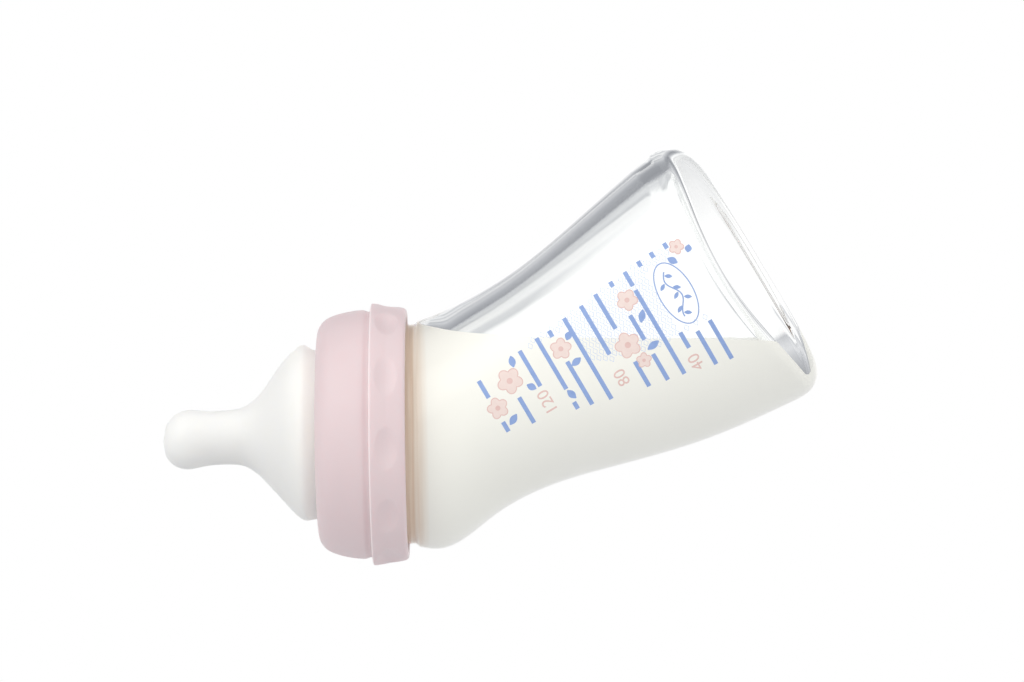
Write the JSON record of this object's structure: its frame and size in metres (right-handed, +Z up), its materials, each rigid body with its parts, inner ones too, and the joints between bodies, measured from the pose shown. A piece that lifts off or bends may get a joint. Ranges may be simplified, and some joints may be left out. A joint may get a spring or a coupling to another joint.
{
  "type": "baby bottle",
  "caption": "Angled wide-neck glass baby bottle with a domed screw collar and a wide-base silicone teat; the collar unscrews and carries the teat off the neck.",
  "frame": {"origin": "centre of the flat base's outer face", "axes": "+X along the neck axis, from the teat towards the body; +Z up in the feeding pose, so the base faces 30 degrees above +X; the XZ plane is the bottle's mirror plane"},
  "size_m": [0.1697, 0.068, 0.1074],
  "materials": {
    "clear_glass": "clear, fire-polished",
    "pink_plastic": "satin, slightly translucent",
    "silicone": "soft, milky, translucent"
  },
  "bodies": {
    "bottle": {"glass_bottle": "clear_glass"},
    "teat": {"teat": "silicone"},
    "collar": {"screw_collar": "pink_plastic"}
  },
  "joints": [
    {"name": "teat_lift", "type": "slide", "parent": "bottle", "child": "teat", "axis": [-1, 0, 0], "range_m": [0, 0.02251]},
    {"name": "collar_turn", "type": "hinge", "parent": "teat", "child": "collar", "pos_m": [-0.1094, 0, -0.0443], "axis": [-1, 0, 0], "range_deg": [0, 1620]}
  ],
  "couplings": [
    {"joint": "teat_lift", "follows": "collar_turn", "m_per_rad": 0.00079577}
  ]
}
